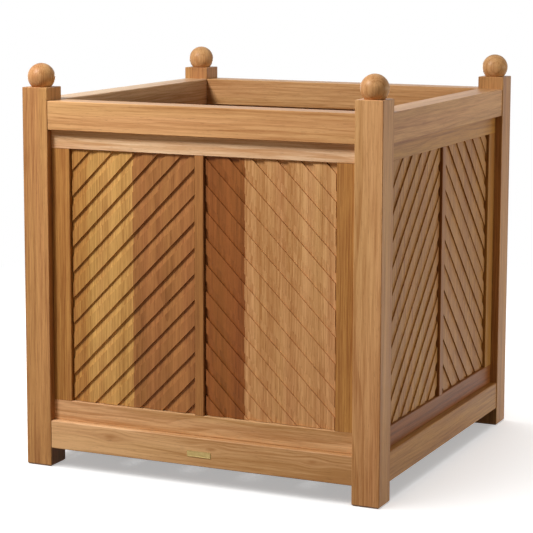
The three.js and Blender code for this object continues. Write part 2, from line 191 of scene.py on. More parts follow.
def make_camera():
    data = bpy.data.cameras.new("camera")
    data.lens = LENS_MM
    data.sensor_width = SENSOR_MM
    data.shift_y = (PRINCIPAL_ROW - PICTURE_SIDE / 2) / PICTURE_SIDE
    data.clip_start, data.clip_end = 0.05, 50
    camera = add_object("camera", data)
    turn = Matrix.Rotation(CAMERA_HEADING, 3, "Z") @ Matrix.Rotation(math.pi / 2 + CAMERA_PITCH, 3, "X")
    turn = turn @ Matrix.Rotation(CAMERA_ROLL, 3, "Z")
    camera.matrix_world = Matrix.Translation(CAMERA_PLACE) @ turn.to_4x4()
    bpy.context.scene.camera = camera
    return camera


camera = make_camera()
print("lens", LENS_MM, "mm, shift", round(camera.data.shift_y, 4))

# %% [markdown]
# ## Sides and boards
# The planter has four like sides, so each piece is drawn once as seen from outside, and turned. A board is
# described by three directions: along its grain, across its face, and through its thickness. A teak finish
# then starts from the board's own middle and directions, which is why the grain always follows the length.

# %% Sides and board directions
SIDES = ["front", "right", "back", "left"]
CORNERS = ["front_left", "front_right", "back_right", "back_left"]
UP = Vector((0, 0, 1))
RIGHT = Vector((1, 0, 0))
BACKWARD = Vector((0, 1, 0))


def side_directions(quarter_turns):
    """To the right and inwards, for a side seen from outside."""
    turn = Matrix.Rotation(quarter_turns * math.pi / 2, 3, "Z")
    return turn @ RIGHT, turn @ BACKWARD


def board_frame(node, along, across):
    """The board's middle, and the turn that brings its grain to X and its face to Y."""
    low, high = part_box(node)
    return (low + high) / 2, Matrix((along, across, along.cross(across)))


for turns, side in enumerate(SIDES):
    rightward, inward = side_directions(turns)
    print(side, "right", [round(v) for v in rightward], "inward", [round(v) for v in inward])

# %% [markdown]
# ## Teak
# Teak is a golden brown hardwood with straight grain, broad bands of lighter and darker wood, thin dark
# ring lines and short open pores. Here it is planed and oiled, with no varnish, so it has a soft low sheen.
# The figure is a solid pattern, like the wood itself: rings round a pith that lies beside the board,
# streaks drawn out along the grain, and fine fibres. Ends of boards then show their rings by themselves.
# The group gives how dark the wood is at a point; each board mixes its own light and dark colours by it.

# %% The figure of teak, as a node group
RING_SPACING = 3.4 * MM  # a little coarser than real growth rings, so that they show
LATE_WOOD = (0.35, 0.95)  # where in a ring its dark line begins and is full
# Width across the grain, length along it and depth of detail of everything that is drawn out along a board.
WANDER = (70 * MM, 420 * MM, 2.0)
BANDS = (26 * MM, 420 * MM, 2.0)
STREAKS = (5 * MM, 170 * MM, 4.0)
FIBRES = (1.3 * MM, 45 * MM, 2.0)
PORES = (0.7 * MM, 11 * MM, 1.0)
WANDER_REACH = 22 * MM
PORE_EDGE = (0.60, 0.72)  # the noise opens a pore between these
# How much each part darkens the wood. The base brings their sum to about a half.
RING_WEIGHT = 0.40
BAND_WEIGHT = 1.5
STREAK_WEIGHT = 1.6
FIBRE_WEIGHT = 1.5
BASE = -1.90
HUE_BANDS = (0.3, 0.7)
REDDEST, YELLOWEST = 0.4955, 0.504  # a half leaves the hue alone


def stretched_noise(tree, position, seed, width, length, detail):
    """Noise that is one width wide across the grain and one length long along it."""
    scaled = calculate_vector(tree, "MULTIPLY", position, (1 / length, 1 / width, 1 / width))
    return add_node(tree, "ShaderNodeTexNoise", {"Vector": scaled, "W": seed, "Scale": 1.0, "Detail": detail},
                    noise_dimensions="4D").outputs


def build_teak_group():
    tree, given = new_tree("teak figure", "ShaderNodeTree",
                           {"Position": "Vector", "Seed": "Float", "Pith": "Vector"},
                           {"Figure": "Float", "Fibre": "Float", "Pores": "Float", "Hue": "Float"})
    position, seed = given["Position"], given["Seed"]

    # The rings wander a few millimetres along the board.
    wander = stretched_noise(tree, position, seed, *WANDER)
    centred = calculate_vector(tree, "SUBTRACT", wander["Color"], (0.5, 0.5, 0.5))
    moved = calculate_vector(tree, "MULTIPLY_ADD", centred, (0, WANDER_REACH, WANDER_REACH), position)
    from_pith = calculate_vector(tree, "SUBTRACT", moved, given["Pith"])
    radius = length_of(tree, calculate_vector(tree, "MULTIPLY", from_pith, (0, 1, 1)))
    rings = calculate(tree, "DIVIDE", radius, RING_SPACING)
    ring_seed = calculate(tree, "ADD", calculate(tree, "FLOOR", rings), seed)
    ring_strength = add_node(tree, "ShaderNodeTexWhiteNoise", {"W": ring_seed}, noise_dimensions="1D")
    late_wood = ramp(tree, calculate(tree, "FRACT", rings), *LATE_WOOD)
    ring_line = calculate(tree, "MULTIPLY", late_wood, ring_strength.outputs["Value"])

    bands = stretched_noise(tree, position, seed, *BANDS)
    streaks = stretched_noise(tree, position, seed, *STREAKS)
    fibres = stretched_noise(tree, position, seed, *FIBRES)
    pores = stretched_noise(tree, position, seed, *PORES)

    total = BASE
    for part, weight in ((ring_line, RING_WEIGHT), (bands["Fac"], BAND_WEIGHT),
                         (streaks["Fac"], STREAK_WEIGHT), (fibres["Fac"], FIBRE_WEIGHT)):
        total = calculate(tree, "MULTIPLY_ADD", part, weight, total)
    figure = add_node(tree, "ShaderNodeClamp", {"Value": total})

    # Broad patches of the wood lean towards red or towards yellow.
    band_colour = add_node(tree, "ShaderNodeSeparateColor", {0: bands["Color"]})
    hue = ramp(tree, band_colour.outputs["Green"], *HUE_BANDS, REDDEST, YELLOWEST, smooth=False)
    add_node(tree, "NodeGroupOutput", {"Figure": figure.outputs[0], "Fibre": fibres["Fac"],
                                       "Pores": ramp(tree, pores["Fac"], *PORE_EDGE), "Hue": hue})
    return tree


TEAK_FIGURE = build_teak_group()
print("teak figure:", len(TEAK_FIGURE.nodes), "nodes")

# %% [markdown]
# ## A board of teak
# Each board is its own piece of tree, so each has its own material with its own seed and its own pith.
# Boards differ in colour too, so a few named sorts of teak are set first, from cream to umber. Oiled teak
# has an index near 1.5 and is fairly rough; the open pores drink the oil and are darker. Fibres and pores
# stand a few hundredths of a millimetre deep, which only a bump can show.

# %% Teak board material
TEAKS = {  # light and dark colour of each sort
    "cream": ("#E8C8A4", "#C49468"),
    "honey": ("#DCB080", "#B08050"),
    "straw": ("#D4A470", "#A87444"),
    "gold": ("#D4A662", "#A4743E"),
    "tan": ("#C8965F", "#96643A"),
    "amber": ("#BE8C4C", "#905C2C"),
    "russet": ("#AE7846", "#82522C"),
    "umber": ("#985C2E", "#70401A"),
}
WOOD_IOR = 1.5
WOOD_ROUGHNESS = 0.40
WOOD_SPECULAR = 0.16  # held low, so that the white studio doesn't grey the wood
PORE_COLOUR, PORE_STRENGTH = "#5A3418", 0.28
BUMP_DEPTH, BUMP_STRENGTH = 0.12 * MM, 0.35
KNOT_COLOUR, KNOT_STRENGTH = "#96602C", 0.45
KNOT_NARROWING = 0.38  # a knot's swirl is longer along the grain than across it
KNOT_PULL = 0.85
# In radii of the knot: where the pull and the dark of the knot begin to fade, and where they end.
KNOT_PULL_FADE = (0.6, 5)
KNOT_DARK_FADE = (0.2, 1.5)
NEXT_PIECE_OF_TREE = 37.0  # how far the seed jumps at a glue line
HIGHEST_SEED = 400
PITH_BESIDE = (0.03, 0.09)  # metres from the board's middle, to either side
PITH_BEHIND = (0.06, 0.14)

chooser = random.Random(7)


def next_seed():
    return round(chooser.uniform(0, HIGHEST_SEED), 2)


def next_pith():
    return (0.0, chooser.choice((-1, 1)) * chooser.uniform(*PITH_BESIDE), -chooser.uniform(*PITH_BEHIND))


def sort_colours(sort):
    """The light and the dark colour of a sort of teak."""
    return [linear(colour) for colour in TEAKS[sort]]


def teak_board(name, frame_of_board, sort, knots=(), changes=(), drift=0.0):
    """Teak for one board, from its own piece of tree.

    knots: (along, across, radius). changes: (place across, half the blend, sort past it).
    drift: painted light falloff. This is how fast the board darkens along its length, per metre, in place of
    lamp light that falls off along it.
    """
    seed, pith = next_seed(), next_pith()
    middle, turn = frame_of_board
    material = bpy.data.materials.new(name)
    material.use_nodes = True
    tree = material.node_tree
    shader = tree.nodes["Principled BSDF"]
    shader.inputs["IOR"].default_value = WOOD_IOR
    shader.inputs["Roughness"].default_value = WOOD_ROUGHNESS
    shader.inputs["Specular IOR Level"].default_value = WOOD_SPECULAR

    place = add_node(tree, "ShaderNodeTexCoord")
    position = add_node(tree, "ShaderNodeMapping", {"Vector": place.outputs["Object"],
                                                    "Location": -(turn @ middle),
                                                    "Rotation": turn.to_euler("XYZ")}).outputs[0]

    # The grain runs round a knot: near it, the pattern is drawn in towards the knot's own line.
    knot_shades = []
    for along, across, radius in knots:
        offset = calculate_vector(tree, "SUBTRACT", position, (along, across, 0))
        distance = length_of(tree, calculate_vector(tree, "MULTIPLY", offset, (KNOT_NARROWING, 1, 0)))
        pull = ramp(tree, distance, *(n * radius for n in KNOT_PULL_FADE), KNOT_PULL, 0.0)
        inwards = calculate_vector(tree, "MULTIPLY", offset, (0, -1, 0))
        drawn = add_node(tree, "ShaderNodeVectorMath", {0: inwards, "Scale": pull}, operation="SCALE")
        position = calculate_vector(tree, "ADD", position, drawn.outputs[0])
        knot_shades.append(ramp(tree, distance, *(n * radius for n in KNOT_DARK_FADE), KNOT_STRENGTH, 0.0))

    light, dark = sort_colours(sort)
    parts = add_node(tree, "ShaderNodeSeparateXYZ", {0: position}).outputs
    for place_across, blend, next_sort in changes:
        past = ramp(tree, parts["Y"], place_across - blend, place_across + blend, smooth=False)
        next_light, next_dark = sort_colours(next_sort)
        light = mix_colours(tree, past, light, next_light)
        dark = mix_colours(tree, past, dark, next_dark)
        if blend < MM:  # a glue line: another piece of tree begins
            seed = calculate(tree, "MULTIPLY_ADD", past, NEXT_PIECE_OF_TREE, seed)

    figure = add_node(tree, "ShaderNodeGroup", {"Position": position, "Seed": seed, "Pith": pith},
                      node_tree=TEAK_FIGURE).outputs
    grain_and_painted_falloff = figure["Figure"]
    # Painted shade: the board darkens steadily along its length, standing in for the key lamp's light falling
    # off.
    if drift:
        grain_and_painted_falloff = calculate(tree, "MULTIPLY_ADD", parts["X"], drift, grain_and_painted_falloff, use_clamp=True)
    wood = mix_colours(tree, grain_and_painted_falloff, light, dark)
    wood = add_node(tree, "ShaderNodeHueSaturation", {"Hue": figure["Hue"], "Color": wood}).outputs[0]
    for shade in knot_shades:
        wood = mix_colours(tree, shade, wood, linear(KNOT_COLOUR))
    pore_shade = calculate(tree, "MULTIPLY", figure["Pores"], PORE_STRENGTH)
    wood = mix_colours(tree, pore_shade, wood, linear(PORE_COLOUR))
    tree.links.new(wood, shader.inputs["Base Color"])

    height = calculate(tree, "SUBTRACT", figure["Fibre"], figure["Pores"])
    bump = add_node(tree, "ShaderNodeBump", {"Height": height, "Strength": BUMP_STRENGTH,
                                             "Distance": BUMP_DEPTH})
    tree.links.new(bump.outputs[0], shader.inputs["Normal"])
    return material


def teak_for(node, along, across, sort, **features):
    """Teak for the board that a solid of the frame stands for."""
    return teak_board(f"teak_{node}", board_frame(node, along, across), sort, **features)


def dress(node, material):
    """Gives a solid of the frame its finish."""
    slots = NODES[node].data.materials
    slots.clear()
    slots.append(material)


print(len(TEAKS), "sorts of teak:", ", ".join(TEAKS))

# %% [markdown]
# ## Rails, frames and posts
# These solids already have their planed faces and bevelled edges, so they only need their wood. Rails have
# their grain along the side, posts and stiles upright. The maker takes pale straight boards for the top
# rails and the frames' top members, and darker ones for stiles and muntins.

# %% Dress the rails, frames and posts
SORTS = {
    "top_rail": "straw",
    "bottom_rail": "honey",
    "frame_top": "cream",
    "frame_bottom": "honey",
    "stile_left": "amber",
    "stile_right": "amber",
    "muntin": "russet",
    "floor_cleat": "tan",
}
LENGTHWISE = ("top_rail", "bottom_rail", "frame_top", "frame_bottom", "floor_cleat")
POST_SORT = "tan"
DOWEL_SORT = "tan"
# Boards of another sort than their fellows. Two of them carry painted light. The right frame's bottom member
# is dark umber as painted shade, where the bottom rail's ledge shades it. The left top rail is pale cream,
# partly its own paler tone and partly a painted sheen on its top face, which is most of what shows of it.
OWN_SORTS_AND_PAINTED_LIGHT = {
    "right_frame_top": "amber",
    "right_bottom_rail": "amber",
    "right_frame_bottom": "umber",
    "left_top_rail": "cream",
    "post_front_right": "straw",
}
# Painted light falloff: how fast a board darkens towards its right or upper end, per metre of length. It is
# painted shade for the key lamp's light, which falls off to the right and downwards.
PAINTED_LIGHT_FALLOFF = {
    "front_bottom_rail": 1.8,
    "front_top_rail": 0.7,
    "post_front_left": -0.5,
    "post_front_right": -0.5,
}
# Metres along and across from the rail's middle, and the knot's radius.
KNOTS = {"front_bottom_rail": [(-0.151, 0.0065, 0.0035), (0.025, 0.0065, 0.003), (0.192, 0.0065, 0.003)]}

for turns, side in enumerate(SIDES):
    rightward, _ = side_directions(turns)
    for part, sort in SORTS.items():
        node = f"{side}_{part}"
        if node in NODES:
            directions = (rightward, UP) if part in LENGTHWISE else (UP, rightward)
            dress(node, teak_for(node, *directions, OWN_SORTS_AND_PAINTED_LIGHT.get(node, sort), knots=KNOTS.get(node, ()),
                                 drift=PAINTED_LIGHT_FALLOFF.get(node, 0.0)))

for corner in CORNERS:
    node = f"post_{corner}"
    dress(node, teak_for(node, UP, RIGHT, OWN_SORTS_AND_PAINTED_LIGHT.get(node, POST_SORT), drift=PAINTED_LIGHT_FALLOFF.get(node, 0.0)))
    dowel = f"finial_dowel_{corner}"
    dress(dowel, teak_for(dowel, UP, RIGHT, DOWEL_SORT))
print("dressed", sum(bool(o.data.materials) for o in NODES.values()), "solids")

# %% [markdown]
# ## Carved panels
# A panel is a slab glued up from two wide staves, with a tongue all round and a face cut in slanting steps.
# The maker runs one tilted cutter over it again and again, a fixed distance apart. Geometry Nodes do the
# same: one cutter, copied along an upright line, is taken away from a slab. The cutter is a long wedge. Its
# deep side leaves a square edge in shadow, its shallow side a small bright step, and the floor between
# them slopes. Each pass lands a little off its mark, as it does by hand.

# %% The cutting tree
PANEL_THICKNESS = 13 * MM
PANEL_ROUNDING = 0.45 * MM
STILE_MARGIN = 2.5 * MM  # the wood shrinks in its width, so the field stands clear at its sides
MUNTIN_MARGIN = 2 * MM
END_MARGIN = 0.6 * MM
STEP_PITCH = 40.3 * MM  # upright
STEP_LOW_WIDTH = 16 * MM  # upright
STEP_DEPTH = 3.1 * MM
STEP_RISE = 1.1 * MM
STEP_SLOPE = 1.014  # rise for one across
TONGUE_SETBACK = 1.7 * MM  # behind the deepest carving
TONGUE_THICKNESS = 6 * MM
HAND_ERROR = 0.5 * MM
# Where the first step starts at a panel's outer end, above the frame's foot: left and right panel.
FRONT_STARTS = (3.5 * MM, 19.0 * MM)
SIDE_STARTS = (2.2 * MM, 26.7 * MM)


def build_panel_tree():
    tree, given = new_tree("carved panel", "GeometryNodeTree", {
        "Geometry": "Geometry", "Width": "Float", "Height": "Float", "Thickness": "Float",
        "Pitch": "Float", "First step": "Float", "Lean": "Float", "Cutter turn": "Float",
        "Passes": "Int", "Cutter": "Object", "Hand error": "Float", "Seed": "Int", "Wood": "Material",
    }, {"Geometry": "Geometry"})

    size = vector_of(tree, given["Width"], given["Thickness"], given["Height"])
    slab = add_node(tree, "GeometryNodeMeshCube", {"Size": size})
    half_deep = calculate(tree, "MULTIPLY", given["Thickness"], 0.5)
    half_high = calculate(tree, "MULTIPLY", given["Height"], 0.5)
    placed = add_node(tree, "GeometryNodeTransform", {
        "Geometry": slab.outputs[0], "Translation": vector_of(tree, y=half_deep, z=half_high)})

    # One pass of the cutter for each pitch, up the outer end of the panel and past both its ends.
    outer_end = calculate(tree, "MULTIPLY", given["Width"], given["Lean"])
    outer_half = calculate(tree, "MULTIPLY", outer_end, -0.5)
    passes = add_node(tree, "GeometryNodeMeshLine", {
        "Count": given["Passes"], "Start Location": vector_of(tree, x=outer_half, z=given["First step"]),
        "Offset": vector_of(tree, z=given["Pitch"])})
    most = given["Hand error"]
    least = calculate(tree, "MULTIPLY", most, -1.0)
    error = add_node(tree, "FunctionNodeRandomValue", {
        0: vector_of(tree, y=least, z=least), 1: vector_of(tree, y=most, z=most), "Seed": given["Seed"],
    }, data_type="FLOAT_VECTOR")
    uneven = add_node(tree, "GeometryNodeSetPosition", {"Geometry": passes.outputs[0],
                                                        "Offset": error.outputs[0]})
    cutter = add_node(tree, "GeometryNodeObjectInfo", {"Object": given["Cutter"]})
    cuts = add_node(tree, "GeometryNodeInstanceOnPoints", {
        "Points": uneven.outputs[0], "Instance": cutter.outputs["Geometry"],
        "Rotation": vector_of(tree, y=given["Cutter turn"])})
    real_cuts = add_node(tree, "GeometryNodeRealizeInstances", {"Geometry": cuts.outputs[0]})
    carved = add_node(tree, "GeometryNodeMeshBoolean", {"Mesh 1": placed.outputs[0],
                                                        "Mesh 2": real_cuts.outputs[0]},
                      operation="DIFFERENCE", solver="EXACT")
    plain = add_node(tree, "GeometryNodeRealizeInstances", {"Geometry": carved.outputs[0]})
    finished = add_node(tree, "GeometryNodeSetMaterial", {"Geometry": plain.outputs[0],
                                                          "Material": given["Wood"]})
    add_node(tree, "NodeGroupOutput", {0: finished.outputs[0]})
    return tree


PANEL_TREE = build_panel_tree()
print("carved panel tree:", len(PANEL_TREE.nodes), "nodes")

# %% [markdown]
# ## From tree to plain mesh
# A modifier's inputs are set by their identifiers, because two sockets may share a name. The evaluated
# shape is then kept as a plain mesh, and the modifier is gone before the piece joins the frame.

# %% Run a tree, keep its mesh
SHARP_ANGLE = math.radians(25)  # edges sharper than this are rounded


def run_tree(name, tree, values, bevel, place=None):
    """Runs a Geometry Nodes tree, softens the edges, moves the mesh to its place and returns the piece."""
    host = add_object(name + "_host", bpy.data.meshes.new(name + "_host"))
    modifier = host.modifiers.new("tree", "NODES")
    modifier.node_group = tree
    for item in tree.interface.items_tree:
        if item.item_type == "SOCKET" and item.in_out == "INPUT" and item.name in values:
            modifier[item.identifier] = values[item.name]
    rounding = host.modifiers.new("rounding", "BEVEL")
    rounding.width, rounding.segments = bevel, 2
    rounding.limit_method, rounding.angle_limit = "ANGLE", SHARP_ANGLE
    evaluated = host.evaluated_get(bpy.context.evaluated_depsgraph_get())
    mesh = bpy.data.meshes.new_from_object(evaluated)
    bpy.data.objects.remove(host)
    mesh.name = name
    if place is not None:
        mesh.transform(place)
    return add_object(name, mesh)


def add_prism(name, section, length):
    """A long prism along Z with the given section in X and Y."""
    mesh = bpy.data.meshes.new(name)
    bottom = [(x, y, -length / 2) for x, y in section]
    top = [(x, y, length / 2) for x, y in section]
    count = len(section)
    faces = [tuple(reversed(range(count))), tuple(range(count, 2 * count))]
    faces += [(i, (i + 1) % count, (i + 1) % count + count, i + count) for i in range(count)]
    mesh.from_pydata(bottom + top, [], faces)
    return add_object(name, mesh)


# The section has X square across the steps, downwards, and Y into the wood from the panel's face.
SLANT = 1 / math.hypot(1, STEP_SLOPE)
CLEAR = 4 * MM  # how far the tool stands out in front of the panel
CUTTER_LENGTH = 1.6  # metres, which is past both sides of a panel on any pass
cutter_section = [(0, -CLEAR), (STEP_LOW_WIDTH * SLANT, -CLEAR),
                  (STEP_LOW_WIDTH * SLANT, STEP_DEPTH - STEP_RISE), (0, STEP_DEPTH)]
cutter = add_prism("step_cutter", cutter_section, CUTTER_LENGTH)
print("cutter:", [tuple(round(v / MM, 1) for v in p) for p in cutter_section])

# %% [markdown]
# ## Eight panels
# Each panel takes its width and height from the solid that it stands for. The two halves of a side lean
# towards each other, which makes the chevron. The tongue that sits in the frame's grooves is a plain board
# behind the carved field, so that the dark line round the field is a real gap.

# %% Make the panels
GLUE_LINE = 0.2 * MM  # half the width over which one stave gives way to the next
SOFT_CHANGE = 4 * MM  # the same, for a change of colour within a stave
# The sort at a panel's left edge, then (place, half the blend, sort) for each change to the right of it.
PANEL_WOODS = {
    "front_panel_left": ("amber", [(-78 * MM, SOFT_CHANGE, "gold"), (0, GLUE_LINE, "russet")]),
    "front_panel_right": ("umber", [(-41.5 * MM, GLUE_LINE, "straw")]),
}
OTHER_PANEL_WOOD = ("amber", [(20 * MM, GLUE_LINE, "amber")])


def panel_place(turns, field_middle, foot, outer_face):
    """Moves a panel drawn at the origin to its side: along to its half, out to its face, up to its foot."""
    rightward, inward = side_directions(turns)
    place = rightward * field_middle + inward * outer_face + UP * foot
    return Matrix.Translation(place) @ Matrix.Rotation(turns * math.pi / 2, 4, "Z")


def make_panel(turns, side, half):
    node = f"{side}_panel_{half}"
    rightward, inward = side_directions(turns)
    low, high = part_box(node)
    outer_face = min(low.dot(inward), high.dot(inward))
    lean = 1 if half == "left" else -1

    # The solid's outline is its tongue; the carved field stands inside it.
    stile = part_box(f"{side}_stile_{half}")
    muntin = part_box(f"{side}_muntin")
    muntin_half = abs(muntin[1].dot(rightward) - muntin[0].dot(rightward)) / 2
    stile_edge = min(abs(stile[0].dot(rightward)), abs(stile[1].dot(rightward)))
    width = stile_edge - muntin_half - STILE_MARGIN - MUNTIN_MARGIN
    field_middle = -lean * (stile_edge - STILE_MARGIN + muntin_half + MUNTIN_MARGIN) / 2
    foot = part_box(f"{side}_frame_bottom")[1].z
    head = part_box(f"{side}_frame_top")[0].z
    height = head - foot - 2 * END_MARGIN

    first_step = (SIDE_STARTS if turns % 2 else FRONT_STARTS)[half == "right"]
    passes_below = math.ceil((width * STEP_SLOPE + STEP_LOW_WIDTH) / STEP_PITCH) + 1
    passes_above = math.ceil(height / STEP_PITCH) + 1
    edge_sort, changes = PANEL_WOODS.get(node, OTHER_PANEL_WOOD)
    wood = teak_for(node, UP, rightward, edge_sort, changes=changes)
    piece = run_tree(f"carved_{node}", PANEL_TREE, {
        "Width": width, "Height": height, "Thickness": PANEL_THICKNESS, "Pitch": STEP_PITCH,
        "First step": first_step - END_MARGIN - passes_below * STEP_PITCH, "Lean": float(lean),
        "Cutter turn": math.atan(1 / STEP_SLOPE) * lean, "Passes": passes_below + passes_above,
        "Cutter": cutter, "Hand error": HAND_ERROR, "Seed": turns * 2 + (half == "right"), "Wood": wood,
    }, PANEL_ROUNDING, panel_place(turns, field_middle, foot + END_MARGIN, outer_face))
    add_tongue(f"tongue_{node}", low, high, inward, wood)
    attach(piece, "root")
    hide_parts(node)
    return piece


def add_tongue(name, low, high, inward, wood):
    """The board behind the field that fills the frame's grooves."""
    front = STEP_DEPTH + TONGUE_SETBACK
    back = front + TONGUE_THICKNESS
    corner_low, corner_high = Vector(low), Vector(high)
    axis = 0 if abs(inward.x) > 0.5 else 1
    if inward[axis] > 0:
        corner_low[axis], corner_high[axis] = low[axis] + front, low[axis] + back
    else:
        corner_low[axis], corner_high[axis] = high[axis] - back, high[axis] - front
    piece = keep_shape(block(corner_low, corner_high), name, wood)
    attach(piece, "root")


for turns, side in enumerate(SIDES):
    for half in ("left", "right"):
        panel = make_panel(turns, side, half)
        print(panel.name, len(panel.data.polygons), "faces")
bpy.data.objects.remove(cutter)

# %% [markdown]
# ## Turned balls
# Each ball is turned on a lathe from a square of teak and stood on its post with a small flat. Its profile
# is one arc, spun round the upright axis, and smooth all over but for the flat.

# %% Make the balls
BALL_STEPS = 72
BALL_RINGS = 40
BALL_SORT = "straw"
SAME_POINT = 0.001 * MM
SEAT_TOLERANCE = 0.01 * MM


def make_ball(corner):
    node = f"finial_ball_{corner}"
    low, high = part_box(node)
    centre_line = (low + high) / 2
    radius = (high.x - low.x) / 2
    centre_height = high.z - radius
    seat_angle = -math.asin((centre_height - low.z) / radius)
    profile = [(0.0, low.z)]
    for i in range(BALL_RINGS):
        angle = seat_angle + (math.pi / 2 - seat_angle) * i / BALL_RINGS
        profile.append((radius * math.cos(angle), centre_height + radius * math.sin(angle)))
    profile.append((0.0, high.z))
    shape = bmesh.new()
    line = [shape.verts.new((centre_line.x + r, centre_line.y, z)) for r, z in profile]
    edges = [shape.edges.new(pair) for pair in zip(line, line[1:])]
    bmesh.ops.spin(shape, geom=line + edges, cent=(centre_line.x, centre_line.y, 0), axis=(0, 0, 1),
                   angle=2 * math.pi, steps=BALL_STEPS, use_duplicate=False)
    bmesh.ops.remove_doubles(shape, verts=shape.verts, dist=SAME_POINT)
    for face in shape.faces:
        face.smooth = face.calc_center_median().z > low.z + SEAT_TOLERANCE
    piece = keep_shape(shape, f"turned_{node}", teak_for(node, UP, RIGHT, BALL_SORT))
    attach(piece, "root")
    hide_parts(node)
    return piece


for corner in CORNERS:
    ball = make_ball(corner)
    print(ball.name, len(ball.data.polygons), "faces")

# %% [markdown]
# ## The slatted floor
# Five boards lie on two cleats with gaps between them, so that water drains. They are alike and evenly
# spaced, which is a rule: Geometry Nodes set one board on each point of a line.

# %% Slatted floor
SLAT_ROUNDING = 1.2 * MM
SLAT_SORT = "tan"
FRONT_TO_BACK = Matrix(((0, 1, 0), (1, 0, 0), (0, 0, -1)))  # the slats' grain brought to X


def build_slat_tree():
    tree, given = new_tree("slatted floor", "GeometryNodeTree", {
        "Geometry": "Geometry", "Slat width": "Float", "Slat length": "Float", "Slat thickness": "Float",
        "Spacing": "Float", "First slat": "Vector", "Count": "Int", "Wood": "Material",
    }, {"Geometry": "Geometry"})
    size = vector_of(tree, given["Slat width"], given["Slat length"], given["Slat thickness"])
    slat = add_node(tree, "GeometryNodeMeshCube", {"Size": size})
    row = add_node(tree, "GeometryNodeMeshLine", {
        "Count": given["Count"], "Start Location": given["First slat"],
        "Offset": vector_of(tree, x=given["Spacing"])})
    slats = add_node(tree, "GeometryNodeInstanceOnPoints", {"Points": row.outputs[0],
                                                            "Instance": slat.outputs[0]})
    real = add_node(tree, "GeometryNodeRealizeInstances", {"Geometry": slats.outputs[0]})
    finished = add_node(tree, "GeometryNodeSetMaterial", {"Geometry": real.outputs[0],
                                                          "Material": given["Wood"]})
    add_node(tree, "NodeGroupOutput", {0: finished.outputs[0]})
    return tree


slat_nodes = sorted(n for n in NODES if n.startswith("floor_slat"))
slat_low, slat_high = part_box(slat_nodes[0])
next_low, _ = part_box(slat_nodes[1])
floor_wood = teak_board("teak_floor_slats", (Vector((0, 0, slat_low.z)), FRONT_TO_BACK), SLAT_SORT)
floor_slats = run_tree("slatted_floor", build_slat_tree(), {
    "Slat width": slat_high.x - slat_low.x, "Slat length": slat_high.y - slat_low.y,
    "Slat thickness": slat_high.z - slat_low.z, "Spacing": next_low.x - slat_low.x,
    "First slat": (slat_low + slat_high) / 2, "Count": len(slat_nodes), "Wood": floor_wood,
}, SLAT_ROUNDING)
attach(floor_slats, "root")
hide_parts(*slat_nodes)
print("slatted floor:", len(floor_slats.data.polygons), "faces")

# %% [markdown]
# ## The brass plate
# A small plate of rolled brass is fixed to the front rail, and it is left bare. A raised rim round a
# slightly sunk field catches the light, as on a stamped plate. Brass is a metal, so its colour is in its
# reflection; the sheet was brushed along its length, and it has dulled a little outdoors.

# %% Brass plate
BRASS_CLEAN, BRASS_DULL = "#A69464", "#887448"
BRASS_ROUGHNESS = (0.34, 0.5)
BRUSH_LENGTH, BRUSH_WIDTH = 25 * MM, 0.4 * MM
BRUSH_DETAIL = 3.0
DULL_PATCHES = 180.0  # to the metre
PLATE_CORNER = 0.8 * MM
PLATE_RIM = 0.9 * MM
PLATE_SLOPE = 0.25 * MM
PLATE_SINK = 0.3 * MM


def satin_brass():
    material = bpy.data.materials.new("satin_brass")
    material.use_nodes = True
    tree = material.node_tree
    shader = tree.nodes["Principled BSDF"]
    shader.inputs["Metallic"].default_value = 1.0
    place = add_node(tree, "ShaderNodeTexCoord").outputs["Object"]
    drawn = calculate_vector(tree, "MULTIPLY", place, (1 / BRUSH_LENGTH, 1 / BRUSH_WIDTH, 1 / BRUSH_WIDTH))
    brushing = add_node(tree, "ShaderNodeTexNoise", {"Vector": drawn, "Scale": 1.0,
                                                     "Detail": BRUSH_DETAIL})
    dulling = add_node(tree, "ShaderNodeTexNoise", {"Vector": place, "Scale": DULL_PATCHES})
    colour = mix_colours(tree, dulling.outputs["Fac"], linear(BRASS_CLEAN), linear(BRASS_DULL))
    tree.links.new(colour, shader.inputs["Base Color"])
    rough = ramp(tree, brushing.outputs["Fac"], 0.0, 1.0, *BRASS_ROUGHNESS, smooth=False)
    tree.links.new(rough, shader.inputs["Roughness"])
    return material


def foremost(faces):
    """The face that stands furthest to the front."""
    return min(faces, key=lambda f: f.calc_center_median().y)


def make_plate():
    low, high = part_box("maker_plate")
    shape = block(low, high)
    # The four corners of the sheet are the edges that run from its front to its back.
    corners = [e for e in shape.edges if e.verts[0].co.y != e.verts[1].co.y]
    bmesh.ops.bevel(shape, geom=corners, offset=PLATE_CORNER, segments=4, affect="EDGES", profile=0.5)
    rim = bmesh.ops.inset_region(shape, faces=[foremost(shape.faces)], thickness=PLATE_RIM, depth=0)
    inner = foremost(f for f in shape.faces if f not in rim["faces"])
    slope = bmesh.ops.inset_region(shape, faces=[inner], thickness=PLATE_SLOPE, depth=0)
    field = foremost(f for f in shape.faces if f not in rim["faces"] and f not in slope["faces"])
    for vertex in field.verts:
        vertex.co.y += PLATE_SINK
    piece = keep_shape(shape, "brass_plate", satin_brass())
    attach(piece, "root")
    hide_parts("maker_plate")
    return piece


plate = make_plate()
print("brass plate:", len(plate.data.polygons), "faces")

# %% [markdown]
# ## Floor and light
# The planter stands on a white studio floor. A soft key lamp hangs in front, to the left and well above, so
# the rails throw short shadows on the frames. A wide panel on the right, a little behind, lights that side,
# and a faint warm fill far in front keeps the shadows from going black. Another behind lights the two far
# sides, which the picture doesn't show. The floor has a lamp of its own, because a floor that is lit by the
# key alone would need a much stronger lamp to look white. The camera sees a white floor and a white sky,
# but the light that they throw on the planter is much less.

